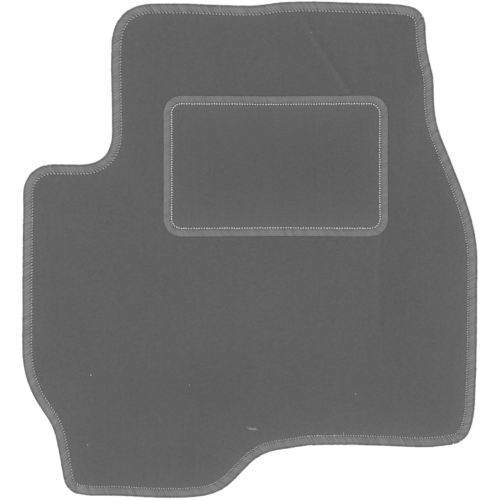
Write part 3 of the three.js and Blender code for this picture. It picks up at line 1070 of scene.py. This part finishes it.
class MAT_OT_face(bpy.types.Operator):
    """Make the mat's carpet face, pressed down under the heel pad"""

    bl_idname = "floor_mat.face"
    bl_label = "Carpet face"

    def execute(self, context):
        """Fill the field with tufts, then close it down to the carrier cloth."""
        look = context.scene.mat_carpet
        chance = np.random.default_rng(look.seed)
        path, pad = mat_path(), pad_path()
        top, bottom = node_high("mat_pile"), node_low("mat_pile")
        margin = node_low("mat_edge_needle_thread")
        bed = node_low("pad_edge_lower_yarn")
        slab = Slab()
        # Inset in millimetres, height and nap, from the field's rim down to the carrier.
        rim, brink = 14.4, -2.8
        outer = slab.wall(path, [
            (rim, top, 0.4), (13.9, top - 0.35 * MM, 0.0), (13.6, top - 0.95 * MM, 0.0),
            (13.4, margin, 0.0), (9.0, margin, 0.0), (1.9, margin, 0.0),
            (1.5, margin - 0.4 * MM, 0.0), (1.5, bottom, 0.0)])
        # The pile rises a little beside the pad, and is pressed flat under it.
        sunk = slab.rings(pad, [
            (brink, top, 1.0), (-1.5, top + 0.2 * MM, 0.6), (-0.5, top + 0.45 * MM, 0.3),
            (0.3, top - 0.1 * MM, 0.0), (1.6, bed, 0.0)])
        pitch = look.tuft_pitch
        field = tuft_grid(path.inset(rim * MM + FIELD_GAP * pitch), pitch, chance,
                          pad.inset(brink * MM - FIELD_GAP * pitch))
        under = tuft_grid(pad.inset(4 * MM), 6 * MM, chance)
        loose = [slab.level(field, top, 1.0), slab.level(under, bed)]
        slab.fill([outer[0], *sunk], loose)
        slab.fill([outer[-1]])
        # Two folds from the way that the mat was packed, each with its ridge's height and the
        # strength of its painted light and shade.
        folds = [((75 * MM, 326 * MM), (150 * MM, 213 * MM), look.fold_height, 1.0),
                 ((184 * MM, 30 * MM), (184 * MM, -130 * MM), look.fold_height * 0.7, 0.65)]
        # Places brushed one way or the other: middle, reach across and along, and lean.
        brushed = [(-70, -195, 85, 32, -0.45), (214, -85, 22, 58, -0.45),
                   (-10, -105, 90, 26, 0.2), (-276, 68, 22, 32, 0.5), (236, 192, 16, 30, 0.7),
                   (302, -250, 22, 22, 0.7), (-200, 230, 60, 50, 0.15), (-252, -325, 16, 22, 0.5)]
        # The pile beside the pad is painted lighter against the pad's shadow.
        form = slab.build("mat_carpet_face", path.inset(rim * MM), folds, brushed=brushed,
                          patch=pad.points)
        piece = made_solid(form, shared_tree("sheared nap", nap_tree), {
            "Tuft height": look.tuft_height, "Undulation": look.undulation,
            "Undulation size": UNDULATION_SIZE, "Seed": look.seed,
            "Finish": shared_material("velour_pile_sheared", sheared_pile, look.pile_colour)})
        settled(piece, ["mat_pile"])
        return {"FINISHED"}


class MAT_OT_backing(bpy.types.Operator):
    """Make the rubber backing and the carrier cloth of the mat and of the pad"""

    bl_idname = "floor_mat.backing"
    bl_label = "Backing and carriers"

    def execute(self, context):
        """Mould the backing, then lay both carriers."""
        look = context.scene.mat_carpet
        chance = np.random.default_rng(look.seed + 1)
        path, pad = mat_path(), pad_path()
        self.backing(path, pad, look, chance)
        for name, node, edge, inset in [
                ("mat_carrier_sheet", "mat_carrier_cloth", path, 1.5),
                ("pad_carrier_sheet", "pad_carrier_cloth", pad, 1.3)]:
            self.carrier(name, node, edge, inset, chance)
        return {"FINISHED"}

    def backing(self, path, pad, look, chance):
        """Grain the underside, and leave the seam's groove in it."""
        low, high = node_low("mat_grip_backing"), node_high("mat_grip_backing")
        recess, deep = low + 1.2 * MM, low + 1.1 * MM
        slab = Slab()
        # Inset in millimetres, height and nap. The lower yarn lies in the recess along the edge.
        rim, before, past = 14.2, 9.6, 12.2
        outer = slab.wall(path, [
            (rim, low, 0.5), (13.6, low + 0.1 * MM, 0.0), (13.3, low + 0.4 * MM, 0.0),
            (13.2, recess, 0.0), (1.5, recess, 0.0), (1.5, high, 0.0)])
        groove = slab.rings(pad, [
            (before, low, 1.0), (10.1, low + 0.1 * MM, 0.0), (10.35, deep, 0.0),
            (11.45, deep, 0.0), (11.7, low + 0.1 * MM, 0.0), (past, low, 1.0)])
        pitch = 2.1 * MM
        around = tuft_grid(path.inset(rim * MM + FIELD_GAP * pitch), pitch, chance,
                           pad.inset(before * MM - FIELD_GAP * pitch))
        within = tuft_grid(pad.inset(past * MM + FIELD_GAP * pitch), pitch, chance)
        slab.fill([outer[0], *groove],
                  [slab.level(around, low, 1.0), slab.level(within, low, 1.0)])
        slab.fill([outer[-1]])
        form = slab.build("mat_rubber_backing")
        piece = made_solid(form, shared_tree("sheared nap", nap_tree), {
            "Tuft height": look.grain_height, "Undulation": 0.0,
            "Undulation size": UNDULATION_SIZE, "Seed": look.seed,
            "Finish": shared_material("rubber_calendered", grip_rubber, look.backing_colour)})
        settled(piece, ["mat_grip_backing"])

    def carrier(self, name, node, edge, inset, chance):
        """Lay one carrier cloth, with a rounded cut edge."""
        sheet = Slab()
        low, high = node_low(node), node_high(node)
        half = (low + high) / 2
        rings = sheet.wall(edge, [
            (inset + 0.3, high, 0.0), (inset, half + 0.1 * MM, 0.0),
            (inset, half - 0.1 * MM, 0.0), (inset + 0.3, low, 0.0)])
        spacing = 6 * MM
        for ring, height in ((rings[0], high), (rings[-1], low)):
            grid = tuft_grid(edge.inset(inset * MM + spacing), spacing, chance)
            sheet.fill([ring], [sheet.level(grid, height)])
        cloth = sheet.build(name)
        cloth.data.materials.append(
            shared_material("polyester_spunbond", spunbond_cloth, "4a4a4a"))
        settled(cloth, [node])


class MAT_OT_edge(bpy.types.Operator):
    """Sew the mat's overlocked edge: the yarns of both sides and the needle thread"""

    bl_idname = "floor_mat.edge"
    bl_label = "Overlocked edge"

    def execute(self, context):
        """Wrap the stitches round the edge, with a second lap where the seam closes."""
        look = context.scene.mat_edge
        chance = np.random.default_rng(look.seed)
        path = mat_path()
        reach = 12.5 * MM
        places = stitch_places(path, reach, look, look.seed, right=look.right_feed)
        lap = self.second_lap(path, reach, look, chance)
        yarn = shared_material("nylon_overlock_yarn", bulked_yarn, look.yarn_colour)

        crest = node_high("mat_edge_upper_yarn") - 0.6 * MM
        meet = node_low("mat_edge_upper_yarn")
        upper = [(13.1, crest - 0.4 * MM), (12.0, crest - 0.1 * MM), (10.2, crest),
                 (8.2, crest + 0.05 * MM), (6.0, crest + 0.05 * MM), (4.2, crest - 0.02 * MM),
                 (2.5, crest - 0.32 * MM), (1.15, crest - 0.95 * MM), (0.25, crest - 1.75 * MM),
                 (-0.05, meet), (0.15, meet - 0.9 * MM)]
        shapes = [yarn_stitch(f"yarn_stitch_{i}", chance, look, look.strands, reach, upper,
                              1.2 * MM, 0.64) for i in range(SHAPES)]
        piece = wrapped_stitches("mat_overlock_top_yarn", path, np.vstack([places, lap]), shapes,
                                 yarn, look.seed)
        settled(piece, ["mat_edge_upper_yarn"])

        trough = node_low("mat_edge_lower_yarn") + 0.62 * MM
        lower = [(12.0, trough + 0.3 * MM), (10.8, trough), (8.0, trough), (5.0, trough),
                 (2.2, trough + 0.2 * MM), (0.8, trough + 0.9 * MM), (0.1, meet - 0.8 * MM),
                 (0.15, meet + 0.6 * MM)]
        shapes = [yarn_stitch(f"under_stitch_{i}", chance, look, look.strands, reach, lower,
                              1.2 * MM, 0.6) for i in range(SHAPES)]
        piece = wrapped_stitches("mat_overlock_bottom_yarn", path, places, shapes, yarn,
                                 look.seed + 1)
        settled(piece, ["mat_edge_lower_yarn"])

        floor = node_low("mat_edge_needle_thread")
        shapes = [self.needle_stitch(i, floor, chance) for i in range(SHAPES)]
        beads = np.vstack([places, lap[::3]])
        beads[:, 1] += 0.45 * MM + chance.normal(size=len(beads)) * 0.12 * MM
        thread = shared_material("polyester_needle_thread", spun_thread, look.thread_colour)
        piece = wrapped_stitches("mat_overlock_needle_thread", path, beads, shapes, thread,
                                 look.seed + 2, turn=0.25, size=(0.12, 0.12, 0.03))
        settled(piece, ["mat_edge_needle_thread"])
        return {"FINISHED"}

    def second_lap(self, path, reach, look, chance):
        """Give the stitches of the stretch at the seat end that is sewn over twice."""
        line = path.inset(reach)
        rear = line[:, 1] < cad_box[0][1] * 0.6
        inside = rear & (line[:, 0] > look.overlap_start) & (line[:, 0] < look.overlap_end)
        run = path.along[:-1][inside]
        steps = np.arange(run.min(), run.max(), look.pitch)
        steps = steps + chance.normal(size=len(steps)) * 0.5 * MM
        count = len(steps)
        return np.c_[steps, np.full(count, 12.2 * MM), np.full(count, 0.35 * MM),
                     chance.uniform(0.8, 1.0, count), np.full(count, -0.1)]

    def needle_stitch(self, number, floor, chance):
        """Make one needle stitch: a short loop that pinches the yarn."""
        tilt = chance.uniform(1.1, 1.4)
        long = chance.uniform(1.1, 1.3)
        line, widths, heights = [], [], []
        for share, rise, thick in [(-1.0, 0.15, 0.6), (-0.75, 0.75, 0.9), (-0.3, 1.1, 1.0),
                                   (0.3, 1.12, 1.0), (0.75, 0.75, 0.9), (1.0, 0.15, 0.6)]:
            along = share * long * MM
            line.append((-along * math.sin(tilt), along * math.cos(tilt), floor + rise * MM))
            widths.append(0.82 * MM * thick)
            heights.append(0.6 * MM * thick)
        return stitch_shape(f"needle_stitch_{number}", [(line, widths, heights)], 6, chance)


class MAT_OT_pad(bpy.types.Operator):
    """Make the heel pad: its pile, overlocked edge and lockstitch seam"""

    bl_idname = "floor_mat.pad"
    bl_label = "Heel pad"

    def execute(self, context):
        """Fill the pad's field, wrap its edge, and sew it down."""
        look = context.scene.pad_edge
        chance = np.random.default_rng(look.seed)
        pad = pad_path()
        margin = node_low("pad_seam_top_thread")
        self.face(pad, margin, context.scene.mat_carpet, look, chance)
        self.overlock(pad, margin, look, chance)
        self.seam(pad, margin, look, chance)
        return {"FINISHED"}

    def face(self, pad, margin, carpet, look, chance):
        """Fill the field with tufts, then close it down to the pad's carrier cloth."""
        top, bottom = node_high("pad_pile"), node_low("pad_pile")
        slab = Slab()
        # Inset in millimetres, height and nap, from the field's rim down to the carrier.
        rim = 13.2
        outer = slab.wall(pad, [
            (rim, top, 0.3), (12.8, top - 0.35 * MM, 0.0), (12.45, top - 1.0 * MM, 0.0),
            (12.2, margin, 0.0), (6.0, margin, 0.0), (1.6, margin, 0.0),
            (1.3, margin - 0.3 * MM, 0.0), (1.3, bottom, 0.0)])
        pitch = 1.25 * MM
        field = tuft_grid(pad.inset(rim * MM + FIELD_GAP * pitch), pitch, chance)
        slab.fill([outer[0]], [slab.level(field, top, 1.0)])
        slab.fill([outer[-1]])
        form = slab.build("pad_carpet_face", pad.inset(rim * MM), bow=0.8,
                          brushed=[(45, 112, 95, 34, -0.5)])
        piece = made_solid(form, shared_tree("sheared nap", nap_tree), {
            "Tuft height": carpet.tuft_height * 0.6, "Undulation": carpet.undulation,
            "Undulation size": UNDULATION_SIZE, "Seed": look.seed,
            "Finish": shared_material("velour_pile_sheared", sheared_pile, carpet.pile_colour)})
        settled(piece, ["pad_pile"])

    def overlock(self, pad, margin, look, chance):
        """Wrap the yarns of both sides round the edge, and sew them with the needle thread."""
        # A smoother yarn than the mat's: less spread and painted groove shade, more sheen, no
        # painted shade at the rim.
        yarn = shared_material("polyester_overlock_yarn", bulked_yarn, look.yarn_colour,
                               0.14, 0.3, 0.0, 0.14)
        reach = 9.7 * MM
        places = stitch_places(pad, reach, look, look.seed, 0.03, True)
        crest = node_high("pad_edge_upper_yarn") - 0.5 * MM
        meet = node_low("pad_edge_upper_yarn")
        upper = [(10.5, crest - 0.3 * MM), (9.5, crest - 0.08 * MM), (7.8, crest),
                 (6.0, crest + 0.05 * MM), (4.0, crest), (2.3, crest - 0.12 * MM),
                 (1.2, crest - 0.5 * MM), (0.65, crest - 1.05 * MM), (0.5, meet),
                 (0.65, meet - 0.5 * MM)]
        shapes = [yarn_stitch(f"pad_stitch_{i}", chance, look, 3, reach, upper, 1.0 * MM, 0.84)
                  for i in range(SHAPES)]
        piece = wrapped_stitches("pad_overlock_top_yarn", pad, places, shapes, yarn, look.seed)
        settled(piece, ["pad_edge_upper_yarn"])

        trough = node_low("pad_edge_lower_yarn") + 0.5 * MM
        lower = [(9.0, trough + 0.1 * MM), (6.0, trough), (3.0, trough), (1.2, trough + 0.2 * MM),
                 (0.55, meet - 0.6 * MM), (0.6, meet + 0.3 * MM)]
        shapes = [yarn_stitch(f"pad_under_stitch_{i}", chance, look, 3, reach, lower, 1.0 * MM,
                              0.7) for i in range(SHAPES)]
        piece = wrapped_stitches("pad_overlock_bottom_yarn", pad, places, shapes, yarn,
                                 look.seed + 1)
        settled(piece, ["pad_edge_lower_yarn"])

        shapes = [self.loop(f"pad_needle_{i}", margin + 0.7 * MM, 1.5, 0.5, 0.4, 1.2, chance)
                  for i in range(HIDDEN_SHAPES)]
        piece = wrapped_stitches("pad_overlock_needle_thread", pad, places, shapes, yarn,
                                 look.seed + 2, turn=0.15, size=(0.08, 0.1, 0.02))
        settled(piece, ["pad_edge_needle_thread"])

    def seam(self, pad, margin, look, chance):
        """Sew the pad down: a bright stitch on top, and the bobbin's half a pitch on below."""
        white = shared_material("polyester_seam_thread", spun_thread, look.seam_colour)
        places = stitch_places(pad, 11.7 * MM, look, look.seed + 3, 0.05, True)
        places[:, 1] += chance.normal(size=len(places)) * 0.12 * MM
        shapes = [self.loop(f"seam_stitch_{i}", margin + 0.95 * MM, 0.78, 0.84, 0.6, 1.1, chance)
                  for i in range(SHAPES)]
        piece = wrapped_stitches("pad_seam_top_stitches", pad, places, shapes, white,
                                 look.seed + 4, turn=0.12, size=(0.1, 0.1, 0.02))
        settled(piece, ["pad_seam_top_thread"])

        places[:, 0] += look.pitch / 2
        deep = node_low("pad_seam_bobbin_thread") + 0.4 * MM
        shapes = [self.loop(f"bobbin_stitch_{i}", deep, 1.4, 0.46, 0.38, -0.4, chance)
                  for i in range(HIDDEN_SHAPES)]
        piece = wrapped_stitches("pad_seam_bobbin_stitches", pad, places, shapes, white,
                                 look.seed + 5, turn=0.08, size=(0.08, 0.08, 0.0))
        settled(piece, ["pad_seam_bobbin_thread"])

    def loop(self, name, height, half, wide, high, dip, chance):
        """Make one stitch that lies along the seam and dips into the cloth at both ends.

        half is its half length, wide and high the thread's half width and height, and dip how
        far the ends go down, in millimetres.
        """
        half = half * chance.uniform(0.92, 1.08)
        line, widths, heights = [], [], []
        for share, drop, thick in [(-1.0, 1.0, 0.5), (-0.8, 0.4, 0.85), (-0.35, 0.0, 1.0),
                                   (0.35, 0.0, 1.0), (0.8, 0.4, 0.85), (1.0, 1.0, 0.5)]:
            line.append((share * half * MM, 0.0, height - dip * drop * MM))
            widths.append(wide * MM * thick)
            heights.append(high * MM * thick)
        return stitch_shape(name, [(line, widths, heights)], 6, chance)


class MAT_OT_loose_ends(bpy.types.Operator):
    """Add the clipped thread tail and a few loose fibres"""

    bl_idname = "floor_mat.loose_ends"
    bl_label = "Thread tail and fibres"

    def execute(self, context):
        """Lay each as a thin tube on the pile."""
        top = node_high("mat_pile")
        look = context.scene.mat_edge
        self.tail(top, look)
        self.fibres(top, context.scene.pad_edge, np.random.default_rng(look.seed))
        return {"FINISHED"}

    def tail(self, top, look):
        """Let the needle thread's end stand out of the second lap."""
        form = bmesh.new()
        x, y = 131.5 * MM, -258 * MM
        line = [(x, y, top - 1.2 * MM), (x + 0.1 * MM, y + 0.5 * MM, top + 0.3 * MM),
                (x - 0.1 * MM, y + 1.8 * MM, top + 0.7 * MM),
                (x - 0.4 * MM, y + 3.2 * MM, top + 0.5 * MM)]
        heights = [0.5 * MM, 0.55 * MM, 0.5 * MM, 0.3 * MM]
        yarn_tube(form, line, [0.55 * MM] * 4, heights, 6, 0.2)
        mesh = worked_mesh("overlock_thread_tail", form)
        mesh.materials.append(
            shared_material("polyester_needle_thread", spun_thread, look.thread_colour))
        tail = placed("overlock_thread_tail", mesh)
        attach(tail, "root")

    def fibres(self, top, look, chance):
        """Scatter a wisp of fine fibres and a few single ones on the pile."""
        # Each fibre, in millimetres: its middle, its length, the angle it lies at in radians,
        # and its half width.
        wisp = [(3.5 + chance.uniform(-5, 5), -250 + chance.normal() * 0.9,
                 chance.uniform(5, 9), chance.normal() * 0.35, 0.1) for _ in range(9)]
        single = [(-222.5, -175, 2.4, 1.2, 0.5), (-84.5, -189, 3.2, 1.3, 0.17),
                  (-227, -272.5, 3.4, 0.6, 0.18), (148, -201, 3.0, 1.4, 0.2),
                  (86, 305, 2.6, 1.2, 0.22)]
        form = bmesh.new()
        for x, y, long, toward, thick in wisp + single:
            line = []
            for share in np.linspace(-0.5, 0.5, 7):
                bend = math.sin(share * 5) * 0.03 * long + chance.normal() * 0.03
                line.append(((x + share * long * math.cos(toward) - bend * math.sin(toward)) * MM,
                             (y + share * long * math.sin(toward) + bend * math.cos(toward)) * MM,
                             top + (0.12 + thick * 0.7) * MM))
            taper = [thick * share * MM for share in (0.4, 0.8, 1.0, 1.0, 1.0, 0.8, 0.4)]
            yarn_tube(form, line, taper, taper, 5, 0.0)
        mesh = worked_mesh("loose_fibres", form)
        mesh.materials.append(
            shared_material("polyester_seam_thread", spun_thread, look.seam_colour))
        fibres = placed("loose_fibres", mesh)
        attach(fibres, "root")


class MAT_OT_declare(bpy.types.Operator):
    """Go over the sheets of cloth and what is sewn to them, and leave them as they are"""

    bl_idname = "floor_mat.declare"
    bl_label = "Declare the sheets"

    def execute(self, context):
        """Go through each sheet's edge, pieces, ground and what is sewn to it, and do nothing with
        them.
        """
        for edge, names, ground, sewn in [
                (mat_path(), ["mat_carpet_face", "mat_carrier_sheet", "mat_rubber_backing"],
                 [], "mat_overlock"),
                (pad_path(), ["pad_carpet_face", "pad_carrier_sheet"],
                 ["mat_carpet_face"], "pad_")]:
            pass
        return {"FINISHED"}


# ---------------------------------------------------------------- panel and registration

OPERATORS = [MAT_OT_stage, MAT_OT_face, MAT_OT_backing, MAT_OT_edge, MAT_OT_pad,
             MAT_OT_loose_ends, MAT_OT_declare]
GROUPS = {"mat_carpet": MatCarpetSettings, "mat_edge": MatEdgeSettings,
          "pad_edge": PadEdgeSettings, "mat_stage": MatStageSettings}


class VIEW3D_PT_floor_mat(bpy.types.Panel):
    """Lists the operators and settings of the floor mat"""

    bl_idname = "VIEW3D_PT_floor_mat"
    bl_label = "Floor mat"
    bl_space_type = "VIEW_3D"
    bl_region_type = "UI"
    bl_category = "Floor mat"

    def draw(self, context):
        """Draw the settings, then a button for each operator."""
        for name, group in GROUPS.items():
            box = self.layout.box()
            box.label(text=group.__doc__)
            for prop in group.__annotations__:
                box.prop(getattr(context.scene, name), prop)
        for operator in OPERATORS:
            self.layout.operator(operator.bl_idname)


CLASSES = [*GROUPS.values(), *OPERATORS, VIEW3D_PT_floor_mat]


def register():
    """Register the classes and put the settings on the scene."""
    for kind in CLASSES:
        bpy.utils.register_class(kind)
    for name, group in GROUPS.items():
        setattr(bpy.types.Scene, name, PointerProperty(type=group))


def unregister():
    """Take the settings off the scene and unregister the classes."""
    for name in GROUPS:
        delattr(bpy.types.Scene, name)
    for kind in reversed(CLASSES):
        bpy.utils.unregister_class(kind)


def main():
    """Build everything in order."""
    register()
    bpy.ops.floor_mat.stage()
    bpy.ops.floor_mat.face()
    bpy.ops.floor_mat.backing()
    bpy.ops.floor_mat.edge()
    bpy.ops.floor_mat.pad()
    bpy.ops.floor_mat.loose_ends()
    bpy.ops.floor_mat.declare()


if __name__ == "__main__":
    main()
